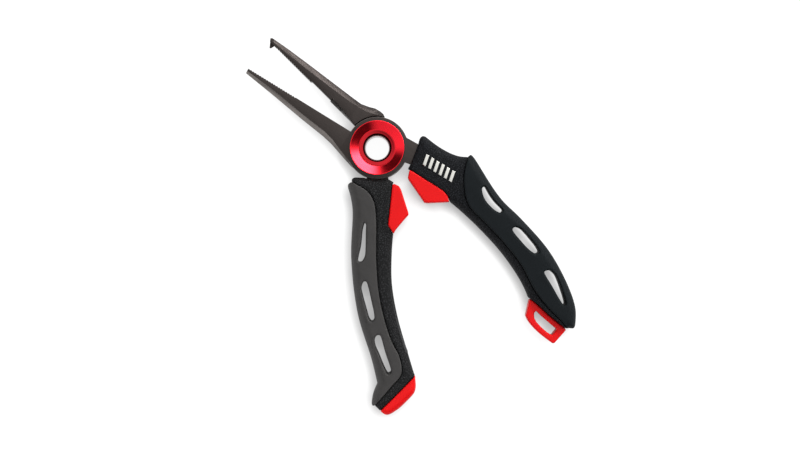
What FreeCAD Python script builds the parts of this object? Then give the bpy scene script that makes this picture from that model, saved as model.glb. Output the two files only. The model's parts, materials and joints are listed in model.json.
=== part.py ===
# Split-ring fishing pliers: two crossed steel levers turn on a large hollow hub, a pair of
# repelling magnets in the handles springs them open, and one jaw ends in a hook.
#
# Frame, in millimetres: the origin is on the pivot axis, midway between the two lever discs.
# +Z runs along the pivot towards the dished side of the hub. +Y runs along the gripping face of
# the front jaw, towards its tip, and that face lies on x = 0. The front lever is drawn where it
# stands. The back lever and all that is on it are drawn closed and then swung open about Z.
import FreeCAD, Part
import Sketcher
import math
import os
from FreeCAD import Placement, Rotation, Vector

SIZES = [
    ("open_angle", 13.0, "swing of the back lever from closed to fully open, degrees"),
    ("disc_radius", 11.7, "lever discs in the lap joint"),
    ("disc_thickness", 3.8, "each lever disc along the pivot"),
    ("shoulder_gap", 0.4, "between a disc and the shoulder of the other jaw"),
    ("washer_thickness", 0.3, "bearing washers"),
    ("washer_play", 0.02, "axial play at each washer"),
    ("washer_radius", 9.8, "outer bearing washers"),
    ("lap_washer_radius", 11.2, "washer between the two discs"),
    ("bore_radius", 4.5, "clear hole through the hub"),
    ("pivot_radius", 7.5, "sleeve that the levers turn on"),
    ("thread_radius", 5.8, "threaded spigot that carries the hub ring"),
    ("running_gap", 0.04, "radial clearance of the levers on the sleeve"),
    ("flange_radius", 10.2, "both hub flanges"),
    ("hub_half_height", 6.3, "from the lap plane to either face of the hub"),
    ("dish_depth", 1.9, "from the hub ring's rim down to its inner step"),
    ("step_radius", 6.7, "inner edge of the hub ring's dish"),
    ("tube_end", 2.2, "height at which the sleeve narrows to its threaded spigot"),
    ("thread_slack", 0.02, "between the hub ring and the sleeve"),
    ("sleeve_chamfer", 0.4, "edges of the sleeve"),
    ("ring_chamfer", 0.15, "outer rim of the hub ring"),
    ("jaw_length", 57.2, "from the pivot to the tips"),
    ("root_half_thickness", 3.95, "jaws at the hub, half of it"),
    ("tip_half_thickness", 1.8, "jaws at the tip, half of it"),
    ("taper_start", 14.0, "where the jaws begin to thin"),
    ("side_share", 0.6, "share of the jaw's thickness left upright on its outer side"),
    ("jaw_gap", 0.04, "between the closed gripping faces"),
    ("tooth_pitch", 1.05, "gripping teeth"),
    ("tooth_depth", 0.4, "gripping teeth"),
    ("teeth_start", 36.0, "first tooth from the pivot"),
    ("front_teeth", 20, "teeth on the plain jaw"),
    ("back_teeth", 17, "teeth on the hooked jaw"),
    ("claw_width", 1.2, "claw of the hook, across the jaw"),
    ("claw_slot_width", 1.8, "slot in the plain jaw's tip that takes the claw"),
    ("slot_start", 54.7, "inner end of that slot, from the pivot"),
    ("cutter_start", 13.0, "inner end of the side cutter, from the pivot"),
    ("cutter_end", 25.1, "outer end of the side cutter"),
    ("cutter_width", 1.8, "bevel of the side cutter at its outer end"),
    ("relief_depth", 0.45, "recess between the side cutter and the teeth"),
    ("tang_thickness", 3.8, "tangs inside the handles"),
    ("tang_width", 5.2, "tangs inside the handles"),
    ("core_thickness", 7.2, "rigid core round each tang"),
    ("core_width", 6.8, "rigid core round each tang"),
    ("handle_thickness", 12.6, "grips and palm pads"),
    ("pod_thickness", 11.0, "magnet pods"),
    ("loop_thickness", 7.0, "lanyard loop"),
    ("heel_thickness", 12.0, "heel cap"),
    ("hard_round", 0.7, "rounded rims of the pods and the heel cap"),
    ("magnet_radius", 3.4, "spring magnets"),
    ("magnet_thickness", 2.6, "spring magnets"),
    ("magnet_cover", 1.0, "pod wall in front of a magnet"),
    ("inlay_thickness", 0.6, "silver bars, two thirds of it sunk in the grip"),
    ("inlay_pitch", 2.3, "silver bars along the handle"),
    ("inlay_bars", 6, "silver bars"),
]

doc = FreeCAD.newDocument("split_ring_pliers")
sheet = doc.addObject("Spreadsheet::Sheet", "Sizes")
for row, (alias, value, meaning) in enumerate(SIZES, start=1):
    sheet.set(f"A{row}", str(value))
    sheet.setAlias(f"A{row}", alias)
    sheet.set(f"B{row}", meaning)
doc.recompute()
size = {alias: float(sheet.get(alias)) for alias, value, meaning in SIZES}
parts = []


def kept(thing, label):
    """Names a finished sub-part and puts it on the list of those to write."""
    thing.Label = label
    parts.append(thing)
    return thing


def swing(thing):
    """Turns a piece of the back lever's side from closed, as drawn, to open."""
    thing.Placement = Placement(Vector(), Rotation(Vector(0, 0, -1), size["open_angle"]))
    thing.setExpression("Placement.Rotation.Angle", "Sizes.open_angle")
    return thing


def new_body(name):
    return doc.addObject("PartDesign::Body", name)


def new_sketch(body, name, plane="XY_Plane", offset=0.0):
    """A sketch on one of the body's own origin planes, moved along that plane's normal."""
    sketch = body.newObject("Sketcher::SketchObject", name)
    origin_plane = next(o for o in body.Origin.OriginFeatures if o.Role == plane)
    sketch.AttachmentSupport = [(origin_plane, "")]
    sketch.MapMode = "FlatFace"
    sketch.AttachmentOffset = Placement(Vector(0, 0, offset), Rotation())
    return sketch


def smooth_curve(points, closed=False):
    """A curve through the points that keeps close to the straight lines between them: its
    direction at each point is a mean of the two spans beside it."""
    path = [Vector(x, y, 0) for x, y in points]
    stops = [*path, path[0]] if closed else path
    spans = [math.sqrt(one.distanceToPoint(other)) for one, other in zip(stops, stops[1:])]
    slopes = [(other - one) / span for one, other, span in zip(stops, stops[1:], spans)]
    tangents = []
    for number in range(len(path) if closed else len(path) - 1):
        weight = spans[number] / (spans[number - 1] + spans[number])
        tangents.append(slopes[number - 1] * weight + slopes[number] * (1 - weight))
    if not closed:
        tangents[0] = slopes[0] * 1.5 - tangents[1] * 0.5
        tangents.append(slopes[-1] * 1.5 - tangents[-1] * 0.5)
    curve = Part.BSplineCurve()
    curve.interpolate(
        Points=path,
        PeriodicFlag=closed,
        Parameters=[sum(spans[:number]) for number in range(len(stops))],
        Tangents=tangents,
        TangentFlags=[True] * len(path),
        Scale=False,
    )
    return curve


def draw_outline(sketch, *runs):
    """A closed outline. Each run carries on from the point before it, either straight from point
    to point or as one smooth curve through them."""
    start = runs[-1][1][-1]
    for kind, points in runs:
        if kind == "curve":
            sketch.addGeometry(smooth_curve([start, *points]))
        else:
            path = [Vector(x, y, 0) for x, y in [start, *points]]
            for one, other in zip(path, path[1:]):
                sketch.addGeometry(Part.LineSegment(one, other))
        start = points[-1]


def draw_circle(sketch, radius):
    """A circle about the pivot whose radius is an expression of the sheet's cells."""
    circle = sketch.addGeometry(Part.Circle(Vector(), Vector(0, 0, 1), 1.0))
    sketch.addConstraint(Sketcher.Constraint("Coincident", circle, 3, -1, 1))
    fixed = sketch.addConstraint(Sketcher.Constraint("Radius", circle, 1.0))
    sketch.setExpression(f"Constraints[{fixed}]", radius)


def extrude(kind, body, sketch, length, midplane=False, reverse=False):
    """A Pad or Pocket whose length is an expression of the sheet's cells."""
    feature = body.newObject(f"PartDesign::{kind}", f"{sketch.Name}_{kind.lower()}")
    feature.Profile = sketch
    feature.setExpression("Length", length)
    feature.Midplane = midplane
    feature.Reversed = reverse
    sketch.Visibility = False
    return feature


def cut_away(body, sketch, length, midplane=False, reverse=False):
    """A Pocket that has to remove material."""
    doc.recompute()
    before = body.Shape.Volume
    feature = extrude("Pocket", body, sketch, length, midplane, reverse)
    doc.recompute()
    if body.Shape.Volume > before - 1e-3:
        raise RuntimeError(f"{feature.Name} cuts nothing")
    return feature


def round_rims(body, thickness, radius):
    """Rounds the edges of a padded piece's two flat faces."""
    doc.recompute()
    pad = body.Tip
    flat = []
    for number, face in enumerate(pad.Shape.Faces, start=1):
        box = face.BoundBox
        if box.ZLength < 1e-6 and abs(abs(box.ZMin) - size[thickness] / 2) < 1e-6:
            flat.append(f"Face{number}")
    fillet = body.newObject("PartDesign::Fillet", f"{body.Name}_rims")
    fillet.Base = (pad, flat)
    fillet.setExpression("Radius", f"Sizes.{radius}")
    return fillet


def turned_piece(name, *runs):
    """A turned piece from the runs of its (radius, z) profile."""
    body = new_body(name)
    sketch = new_sketch(body, f"{name}_profile", "XZ_Plane")
    draw_outline(sketch, *runs)
    turning = body.newObject("PartDesign::Revolution", f"{name}_turning")
    turning.Profile = sketch
    turning.ReferenceAxis = (sketch, ["V_Axis"])
    turning.Angle = 360
    return kept(body, name)


def washer(name, radius, bottom):
    """A flat bearing washer on the sleeve, from z = bottom up."""
    body = new_body(name)
    sketch = new_sketch(body, f"{name}_ring", offset=bottom)
    draw_circle(sketch, f"Sizes.{radius}")
    draw_circle(sketch, "Sizes.pivot_radius + Sizes.running_gap")
    extrude("Pad", body, sketch, "Sizes.washer_thickness - Sizes.washer_play")
    return kept(body, name)


def strip_sides(centre_line, width):
    """The points half a width to each side of a strip's centre line."""
    line = [Vector(x, y, 0) for x, y in centre_line]
    sides = ([], [])
    for index, point in enumerate(line):
        ahead = line[min(index + 1, len(line) - 1)] - line[max(index - 1, 0)]
        across = Vector(-ahead.y, ahead.x, 0).normalize() * (width / 2)
        sides[0].append((point.x + across.x, point.y + across.y))
        sides[1].append((point.x - across.x, point.y - across.y))
    return sides


def strip_pad(body, name, centre_line, width, thickness):
    """A strip of even width and thickness along a curved line, centred on the lap plane."""
    near, far = strip_sides(centre_line, size[width])
    sketch = new_sketch(body, name)
    draw_outline(
        sketch,
        ("curve", near[1:]),
        ("line", [far[-1]]),
        ("curve", far[-2::-1]),
        ("line", [near[0]]),
    )
    return extrude("Pad", body, sketch, f"Sizes.{thickness}", midplane=True)


def jaw_half_thickness(y):
    """Half the jaw's thickness at a distance y from the pivot."""
    run = (y - size["taper_start"]) / (size["jaw_length"] - size["taper_start"])
    drop = size["root_half_thickness"] - size["tip_half_thickness"]
    return size["root_half_thickness"] - drop * max(0.0, run)


def add_jaw(body, side, stations):
    """A tapered jaw with a bevel along both outer edges. Each station is the distance from the
    pivot, the half outline and where the flat face ends; side is -1 or 1 in x."""
    sections = []
    for number, (y, outline, flat) in enumerate(stations):
        half = jaw_half_thickness(y)
        upright = half * size["side_share"]
        corners = [
            (size["jaw_gap"] / 2, -half),
            (flat, -half),
            (outline, -upright),
            (outline, upright),
            (flat, half),
            (size["jaw_gap"] / 2, half),
        ]
        section = new_sketch(body, f"{body.Name}_section_{number}", "XZ_Plane", -y)
        draw_outline(section, ("line", [(side * x, z) for x, z in corners]))
        sections.append(section)
    loft = body.newObject("PartDesign::AdditiveLoft", f"{body.Name}_jaw")
    loft.Profile = sections[0]
    loft.Sections = sections[1:]
    loft.Ruled = True


def add_teeth(body, side, count):
    """Cross grooves in the gripping face, patterned along the jaw."""
    sketch = new_sketch(body, f"{body.Name}_tooth")
    start, pitch = size["teeth_start"], size["tooth_pitch"]
    draw_outline(
        sketch,
        ("line", [(-side * 0.1, start), (side * size["tooth_depth"], start + pitch / 2)]),
        ("line", [(-side * 0.1, start + pitch)]),
    )
    groove = cut_away(body, sketch, "4 * Sizes.root_half_thickness", midplane=True)
    pattern = body.newObject("PartDesign::LinearPattern", f"{body.Name}_teeth")
    pattern.Originals = [groove]
    pattern.Direction = (sketch, ["V_Axis"])
    pattern.setExpression("Length", f"Sizes.tooth_pitch * (Sizes.{count} - 1)")
    pattern.setExpression("Occurrences", f"Sizes.{count}")
    body.Tip = pattern


def add_disc(body, lap_side):
    """The half-lap disc of a lever, on the +Z or the -Z side of the lap plane."""
    sketch = new_sketch(body, f"{body.Name}_disc", offset=lap_side * size["washer_thickness"] / 2)
    draw_circle(sketch, "Sizes.disc_radius")
    extrude("Pad", body, sketch, "Sizes.disc_thickness", reverse=lap_side < 0)


def add_neck(body, lap_side, outline):
    """The neck that joins a disc to its tang, in the same half of the lap joint."""
    sketch = new_sketch(body, f"{body.Name}_neck", offset=lap_side * size["washer_thickness"] / 2)
    draw_outline(sketch, ("line", outline))
    extrude("Pad", body, sketch, "Sizes.disc_thickness", reverse=lap_side < 0)


def clear_other_disc(body, lap_side):
    """Clears the room that the other lever's disc turns in, and bores the pivot hole."""
    room = new_sketch(body, f"{body.Name}_room", offset=lap_side * size["washer_thickness"] / 2)
    draw_circle(room, "Sizes.disc_radius + Sizes.shoulder_gap")
    cut_away(body, room, "2 * Sizes.root_half_thickness", reverse=lap_side < 0)
    hole = new_sketch(body, f"{body.Name}_hole")
    draw_circle(hole, "Sizes.pivot_radius + Sizes.running_gap")
    cut_away(body, hole, "4 * Sizes.root_half_thickness", midplane=True)


def rectangle(x_low, x_high, y_low, y_high):
    return [(x_low, y_low), (x_high, y_low), (x_high, y_high), (x_low, y_high)]


def shifted(points, dx, dy):
    return [(x + dx, y + dy) for x, y in points]


def moulding(name, thickness, rounding, *runs, holes=()):
    """A padded moulding, with rounded rims where a rounding is named; each hole is a smooth closed
    curve through it."""
    body = new_body(name)
    sketch = new_sketch(body, f"{name}_outline")
    draw_outline(sketch, *runs)
    for hole in holes:
        sketch.addGeometry(smooth_curve(hole, closed=True))
    extrude("Pad", body, sketch, f"Sizes.{thickness}", midplane=True)
    if rounding:
        round_rims(body, thickness, rounding)
    return body


def less(label, base, *tools):
    """A piece that is moulded round others: base with the tools' volumes taken out."""
    around = tools[0]
    if len(tools) > 1:
        around = doc.addObject("Part::MultiFuse", f"{label}_inside")
        around.Shapes = list(tools)
    result = doc.addObject("Part::Cut", f"{label}_moulding")
    result.Base = base
    result.Tool = around
    return kept(result, label)


def magnet(name, near_edge, far_edge, inward):
    """A disc magnet behind the middle of a pod's sloping face, which runs from near_edge to
    far_edge; inward is -1 or 1, the side of that line on which the pod lies."""
    near = Vector(near_edge[0], near_edge[1], 0)
    far = Vector(far_edge[0], far_edge[1], 0)
    along = (far - near).normalize()
    depth = Vector(-along.y, along.x, 0) * inward
    disc = doc.addObject("Part::Cylinder", name)
    disc.setExpression("Radius", "Sizes.magnet_radius")
    disc.setExpression("Height", "Sizes.magnet_thickness")
    middle = (near + far) * 0.5 + depth * size["magnet_cover"]
    disc.Placement = Placement(middle, Rotation(Vector(0, 0, 1), depth))
    return disc


# ---- hub: a flanged sleeve, the dished ring screwed to it, and three washers ----
lap = size["washer_thickness"] / 2
outer_face = lap + size["disc_thickness"]
flange_inside = outer_face + size["washer_thickness"]
top = size["hub_half_height"]
step_height = top - size["dish_depth"]
tube_end = size["tube_end"]
edge = size["sleeve_chamfer"]
rim = size["ring_chamfer"]
slack = size["thread_slack"]

turned_piece(
    "hub_sleeve",
    ("line", [(size["bore_radius"], edge - top), (size["bore_radius"], step_height - edge)]),
    ("line", [(size["bore_radius"] + edge, step_height), (size["thread_radius"], step_height)]),
    ("line", [(size["thread_radius"], tube_end), (size["pivot_radius"], tube_end)]),
    ("line", [(size["pivot_radius"], -flange_inside), (size["flange_radius"], -flange_inside)]),
    ("line", [(size["flange_radius"], edge - top), (size["flange_radius"] - edge, -top)]),
    ("line", [(size["bore_radius"] + edge, -top)]),
)
turned_piece(
    "hub_ring",
    ("line", [(size["thread_radius"] + slack, tube_end + slack)]),
    ("line", [(size["thread_radius"] + slack, step_height), (size["step_radius"], step_height)]),
    ("curve", [(7.75, step_height + 0.37), (8.8, step_height + 1.0), (9.85, top)]),
    ("line", [(size["flange_radius"] - rim, top), (size["flange_radius"], top - rim)]),
    ("line", [(size["flange_radius"], flange_inside), (size["pivot_radius"], flange_inside)]),
    ("line", [(size["pivot_radius"], tube_end + slack)]),
)
play = size["washer_play"] / 2
washer("front_washer", "washer_radius", outer_face + play)
washer("lap_washer", "lap_washer_radius", play - lap)
washer("back_washer", "washer_radius", play - flange_inside)

# ---- front lever: plain jaw, front disc and the tang of the loop handle ----
FRONT_STATIONS = [
    (0, 11.7, 11.2),
    (5, 11.0, 10.3),
    (9, 9.85, 8.95),
    (12, 8.9, 7.8),
    (16, 7.7, 6.2),
    (20, 6.9, 5.2),
    (30, 5.7, 4.1),
    (45, 3.55, 2.0),
    (57.2, 2.0, 1.0),
]
FRONT_NECK = [(9.0, -5.0), (9.3, -12.2), (9.0, -19.0), (2.4, -19.0), (1.3, -13.8), (0.3, -9.0)]
FRONT_TANG = [
    (5.6, -14.5),
    (5.9, -21.0),
    (5.2, -29.0),
    (3.0, -36.0),
    (0.3, -44.0),
    (-1.2, -50.0),
    (-3.6, -59.0),
    (-6.2, -66.0),
    (-8.6, -72.0),
]

front_lever = new_body("front_lever")
add_jaw(front_lever, -1, FRONT_STATIONS)
add_disc(front_lever, 1)
add_neck(front_lever, 1, FRONT_NECK)
strip_pad(front_lever, "front_tang", FRONT_TANG, "tang_width", "tang_thickness")
clear_other_disc(front_lever, 1)
add_teeth(front_lever, -1, "front_teeth")
claw_slot = new_sketch(front_lever, "claw_slot")
draw_outline(claw_slot, ("line", rectangle(-3.0, 1.0, size["slot_start"], size["jaw_length"] + 0.8)))
cut_away(front_lever, claw_slot, "Sizes.claw_slot_width", midplane=True)
kept(front_lever, "front_lever")

# ---- back lever: hooked jaw with the side cutter, back disc and the other tang ----
BACK_STATIONS = [
    (0, 11.3, 10.8),
    (4, 10.6, 10.1),
    (6.1, 9.8, 9.3),
    (6.4, 10.4, 9.6),
    (7.4, 10.75, 9.5),
    (9, 10.6, 8.7),
    (11, 10.1, 7.6),
    (13, 8.9, 6.7),
    (16, 7.55, 5.95),
    (20, 6.95, 5.1),
    (30, 5.65, 3.65),
    (40, 4.35, 2.45),
    (50, 2.95, 1.3),
    (57.0, 1.75, 0.75),
]
BACK_NECK = [
    (-4.6, -5.0),
    (-5.0, -10.9),
    (-12.6, -17.0),
    (-17.0, -13.4),
    (-11.2, -5.4),
    (-7.0, -2.0),
]
NOSE = [(0.02, 56.5), (0.02, 57.1), (0.8, 57.7), (1.1, 57.9), (1.6, 57.4), (1.75, 56.5)]
CLAW = [(-0.18, 55.0), (-1.38, 55.29), (-1.78, 55.69), (0.8, 57.7), (1.0, 57.0), (1.0, 55.0)]
BACK_TANG = [
    (-10.3, -10.3),
    (-14.0, -14.5),
    (-20.0, -21.0),
    (-27.2, -27.8),
    (-34.5, -35.8),
    (-40.4, -43.8),
    (-45.0, -51.5),
    (-48.5, -58.5),
]

back_lever = new_body("back_lever")
add_jaw(back_lever, 1, BACK_STATIONS)
add_disc(back_lever, -1)
add_neck(back_lever, -1, BACK_NECK)
strip_pad(back_lever, "back_tang", BACK_TANG, "tang_width", "tang_thickness")
nose = new_sketch(back_lever, "nose")
draw_outline(nose, ("line", NOSE))
extrude("Pad", back_lever, nose, "2 * Sizes.tip_half_thickness", midplane=True)
claw = new_sketch(back_lever, "claw")
draw_outline(claw, ("line", CLAW))
extrude("Pad", back_lever, claw, "Sizes.claw_width", midplane=True)
clear_other_disc(back_lever, -1)
add_teeth(back_lever, 1, "back_teeth")
relief = new_sketch(back_lever, "relief")
relief_start, relief_end = size["cutter_end"], size["teeth_start"]
relief_outline = [
    (-0.5, relief_start),
    (size["relief_depth"], relief_start),
    (size["relief_depth"], relief_end - 0.8),
    (-0.5, relief_end + 0.2),
]
draw_outline(relief, ("line", relief_outline))
cut_away(back_lever, relief, "4 * Sizes.root_half_thickness", midplane=True)
for face, face_name in ((1, "front"), (-1, "back")):
    bevels = []
    ends = [(size["cutter_end"], size["cutter_width"], "out"), (size["cutter_start"], 0.5, "in")]
    for y, width, end_name in ends:
        high = jaw_half_thickness(y) + 0.3
        corners = [(-0.3, face * 0.3), (-0.3, face * high), (width, face * high)]
        bevel = new_sketch(back_lever, f"cutter_{end_name}_{face_name}", "XZ_Plane", -y)
        draw_outline(bevel, ("line", corners))
        bevels.append(bevel)
    ground = back_lever.newObject("PartDesign::SubtractiveLoft", f"cutter_{face_name}")
    ground.Profile = bevels[0]
    ground.Sections = bevels[1:]
    ground.Ruled = True
kept(swing(back_lever), "back_lever")

# ---- front handle: core, silver bars, textured grip, palm pad, magnet pod and lanyard loop ----
FRONT_SEAM = [
    (12.0, -31.7),
    (8.0, -33.3),
    (3.0, -36.8),
    (-0.5, -41.0),
    (-2.9, -50.0),
    (-5.0, -58.0),
    (-9.0, -69.0),
    (-14.5, -78.5),
    (-17.0, -85.0),
    (-19.0, -93.0),
]
FRONT_SLOTS = [
    [
        (7.9, -41.6),
        (6.2, -42.8),
        (4.6, -45.1),
        (3.7, -47.8),
        (3.3, -50.6),
        (3.7, -52.4),
        (4.9, -52.7),
        (5.5, -51.2),
        (6.1, -48.7),
        (7.1, -46.1),
        (8.4, -43.6),
        (9.1, -42.2),
    ],
    [
        (0.7, -59.4),
        (-0.3, -61.2),
        (-1.2, -64.0),
        (-2.1, -66.9),
        (-2.65, -69.9),
        (-2.4, -71.9),
        (-1.3, -72.5),
        (-0.1, -70.8),
        (1.0, -67.8),
        (2.0, -64.8),
        (2.6, -61.9),
        (1.9, -59.8),
    ],
    [
        (-6.6, -78.0),
        (-7.8, -79.7),
        (-9.3, -82.7),
        (-10.9, -85.6),
        (-12.5, -88.6),
        (-13.4, -90.9),
        (-12.8, -91.4),
        (-11.2, -90.0),
        (-9.0, -87.4),
        (-6.9, -84.8),
        (-5.2, -82.0),
        (-5.1, -79.4),
    ],
]
LOOP_HOLE = [
    (-20.7, -83.3),
    (-21.4, -86.5),
    (-22.0, -90.3),
    (-22.5, -93.6),
    (-25.4, -93.2),
    (-25.4, -91.1),
    (-24.9, -88.1),
    (-24.2, -85.6),
    (-23.3, -84.1),
    (-21.8, -83.1),
]

front_core_blank = new_body("front_core_blank")
front_core_line = [(5.95, -21.5), *FRONT_TANG[2:], (-9.8, -74.5)]
strip_pad(front_core_blank, "front_core_strip", front_core_line, "core_width", "core_thickness")
less("front_core", front_core_blank, front_lever)

inlay = new_body("side_inlay")
inlay.AllowCompound = True
sunk = size["inlay_thickness"] * 2 / 3
bar = new_sketch(inlay, "inlay_bar", offset=size["handle_thickness"] / 2 - sunk)
draw_outline(bar, ("line", [(3.6, -17.9), (7.7, -17.0), (7.7, -18.3), (3.6, -19.2)]))
bar_pad = extrude("Pad", inlay, bar, "Sizes.inlay_thickness")
doc.recompute()
row_of_bars = inlay.newObject("PartDesign::LinearPattern", "inlay_row")
row_of_bars.Originals = [bar_pad]
row_of_bars.Direction = (bar, ["V_Axis"])
row_of_bars.Reversed = True
row_of_bars.setExpression("Length", "Sizes.inlay_pitch * (Sizes.inlay_bars - 1)")
row_of_bars.setExpression("Occurrences", "Sizes.inlay_bars")
inlay.Tip = row_of_bars
kept(inlay, "side_inlay")

front_grip_block = moulding(
    "front_grip_block",
    "handle_thickness",
    None,
    ("line", [(-0.5, -14.0), (1.4, -13.9), (9.4, -12.4)]),
    ("curve", [(11.8, -11.8), (12.9, -12.2), (13.3, -13.2)]),
    ("curve", [(12.7, -21.0), (13.4, -27.0), (15.1, -30.9)]),
    ("curve", FRONT_SEAM),
    ("line", [(-20.5, -96.3)]),
    ("curve", [(-19.4, -88.0), (-18.2, -82.0), (-17.9, -78.3)]),
    ("curve", [(-14.0, -72.3), (-9.0, -61.0), (-5.3, -48.0), (-3.5, -39.0), (-2.8, -34.3)]),
    ("curve", [(-1.5, -32.3), (-0.6, -29.5), (-0.5, -27.0)]),
)
less("front_grip", front_grip_block, front_core_blank, front_lever, inlay)

front_pad_block = moulding(
    "front_pad_block",
    "handle_thickness",
    None,
    ("curve", [*shifted(FRONT_SEAM[-2::-1], 0.12, -0.12), (15.2, -31.0)]),
    ("curve", [(16.4, -31.4), (16.3, -32.5), (14.0, -37.5)]),
    ("curve", [(8.3, -50.0), (6.0, -60.0), (1.2, -75.5), (-6.0, -88.3), (-12.0, -95.5), (-17.6, -98.9)]),
    ("curve", [(-18.9, -98.9), (-19.7, -97.4), (-20.3, -96.6)]),
    ("line", [(-18.88, -93.12)]),
    holes=FRONT_SLOTS,
)
less("front_palm_pad", front_pad_block, front_core_blank)

front_magnet = kept(magnet("front_magnet", (-3.85, -16.3), (-8.15, -26.0), 1), "front_magnet")
front_pod_block = moulding(
    "front_pod_block",
    "pod_thickness",
    "hard_round",
    ("line", [(-0.6, -14.9), (-1.5, -15.0), (-3.4, -15.7), (-3.85, -16.3)]),
    ("line", [(-8.15, -26.0), (-7.8, -26.9), (-3.1, -33.8), (-1.75, -32.3)]),
    ("curve", [(-0.85, -30.0), (-0.6, -27.0)]),
)
less("front_pod", front_pod_block, front_magnet)

lanyard_loop = moulding(
    "lanyard_loop",
    "loop_thickness",
    None,
    ("line", [(-18.5, -79.0), (-24.3, -81.0)]),
    ("curve", [(-25.5, -82.8), (-26.8, -86.6), (-27.5, -90.5), (-27.9, -95.0)]),
    ("line", [(-27.4, -95.6), (-20.9, -96.7), (-20.7, -96.3)]),
    ("curve", [(-19.6, -88.0), (-18.4, -82.0), (-18.1, -79.4)]),
)
lanyard_hole = new_sketch(lanyard_loop, "lanyard_hole")
draw_outline(lanyard_hole, ("line", LOOP_HOLE))
cut_away(lanyard_loop, lanyard_hole, "2 * Sizes.loop_thickness", midplane=True)
kept(lanyard_loop, "lanyard_loop")

# ---- back handle: core, textured grip, palm pad, magnet pod and heel cap ----
BACK_SEAM = [
    (-15.3, -4.0),
    (-14.2, -9.0),
    (-15.2, -13.5),
    (-19.0, -18.5),
    (-30.0, -29.5),
    (-37.5, -38.0),
    (-43.0, -46.0),
    (-47.5, -54.5),
    (-50.2, -62.0),
    (-54.0, -66.5),
    (-60.0, -67.2),
]
BACK_SLOTS = [
    [
        (-23.4, -16.5),
        (-25.8, -17.7),
        (-28.5, -19.9),
        (-31.1, -21.9),
        (-33.9, -23.6),
        (-35.5, -25.0),
        (-34.6, -25.9),
        (-32.4, -25.5),
        (-29.9, -23.5),
        (-27.5, -21.2),
        (-25.1, -18.9),
        (-23.4, -17.2),
    ],
    [
        (-39.3, -31.9),
        (-41.7, -32.8),
        (-43.0, -34.6),
        (-44.6, -37.3),
        (-46.3, -40.3),
        (-47.9, -43.3),
        (-47.9, -44.6),
        (-46.6, -44.6),
        (-45.1, -43.1),
        (-43.2, -40.2),
        (-41.3, -37.3),
        (-39.5, -34.4),
        (-38.7, -32.6),
    ],
    [
        (-50.3, -49.6),
        (-52.4, -50.5),
        (-53.7, -52.3),
        (-54.9, -55.4),
        (-56.3, -58.6),
        (-57.5, -61.8),
        (-57.6, -63.0),
        (-56.3, -63.1),
        (-54.9, -61.2),
        (-53.4, -58.1),
        (-51.8, -55.1),
        (-50.1, -52.2),
        (-49.4, -50.4),
    ],
]

back_core_blank = new_body("back_core_blank")
back_core_line = [(-18.0, -18.9), (-20.0, -21.0), *BACK_TANG[3:], (-49.6, -61.0)]
strip_pad(back_core_blank, "back_core_strip", back_core_line, "core_width", "core_thickness")
swing(back_core_blank)
less("back_core", back_core_blank, back_lever)

back_grip_block = moulding(
    "back_grip_block",
    "handle_thickness",
    None,
    ("curve", [(-9.2, -8.0), (-11.5, -4.4)]),
    ("line", [(-13.8, -1.9)]),
    ("curve", [(-14.9, -1.55), (-15.8, -2.1)]),
    ("curve", [*BACK_SEAM, (-69.6, -67.8)]),
    ("line", [(-69.6, -70.5), (-51.1, -70.5)]),
    ("curve", [(-47.0, -63.0), (-40.0, -50.5), (-32.5, -40.0), (-24.5, -32.0), (-18.9, -27.2)]),
    ("line", [(-17.9, -23.2), (-5.75, -13.6), (-4.9, -13.5), (-5.4, -11.3)]),
)
swing(back_grip_block)
less("back_grip", back_grip_block, back_core_blank, back_lever)

back_pad_block = moulding(
    "back_pad_block",
    "handle_thickness",
    None,
    ("curve", [*shifted(BACK_SEAM[::-1], -0.12, 0.12), (-15.95, -2.2)]),
    ("curve", [(-17.6, -1.95), (-19.1, -4.0)]),
    ("curve", [(-22.8, -9.4), (-36.4, -22.2), (-49.5, -38.6), (-58.2, -54.7), (-63.1, -62.6)]),
    ("curve", [(-67.5, -64.5), (-70.3, -67.0), (-69.7, -67.68)]),
    holes=BACK_SLOTS,
)
swing(back_pad_block)
less("back_palm_pad", back_pad_block, back_core_blank, back_lever)

back_magnet_disc = magnet("back_magnet_disc", (-4.9, -17.6), (-9.1, -25.6), -1)
back_magnet = doc.addObject("Part::Compound", "back_magnet")
back_magnet.Links = [back_magnet_disc]
kept(swing(back_magnet), "back_magnet")
back_pod_block = moulding(
    "back_pod_block",
    "pod_thickness",
    "hard_round",
    ("line", [(-5.75, -13.8), (-5.1, -14.2), (-4.45, -16.0), (-4.9, -17.6)]),
    ("line", [(-9.1, -25.6), (-9.6, -26.2), (-12.0, -26.3), (-16.8, -26.7), (-18.6, -27.1), (-17.8, -23.4)]),
)
swing(back_pod_block)
less("back_pod", back_pod_block, back_magnet, back_core_blank)

heel_cap = moulding(
    "heel_cap",
    "heel_thickness",
    "hard_round",
    ("line", [(-69.5, -70.7)]),
    ("curve", [(-68.9, -73.4), (-65.0, -74.8), (-60.0, -75.1), (-55.0, -74.6), (-51.1, -70.7)]),
)
kept(swing(heel_cap), "heel_cap")

# ---- check every object, then write one file for each sub-part ----
doc.recompute()
failed = [t.Name for t in doc.Objects if "Invalid" in t.State or "Error" in t.State]
if failed:
    raise RuntimeError("failed: " + ", ".join(failed))
for part in parts:
    if part.Shape.isNull() or not part.Shape.isValid() or not part.Shape.Solids:
        raise RuntimeError(f"{part.Label} has no valid solid")
os.makedirs("parts", exist_ok=True)
for part in parts:
    part.Shape.exportStep(f"parts/{part.Label}.step")
    print(part.Label, len(part.Shape.Solids), "solid", round(part.Shape.Volume, 1), "mm3")
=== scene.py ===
"""Split-ring fishing pliers: the looks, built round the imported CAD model.

The moulded handle pieces are rounded height-field shells drawn on the plan outlines of their CAD
nodes, the steel levers are bevelled copies of theirs, and the hub and the silver bars are made by
geometry nodes. Lengths in the property groups and in the code are millimetres; meshes are metres.
"""

import json
import math

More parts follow.
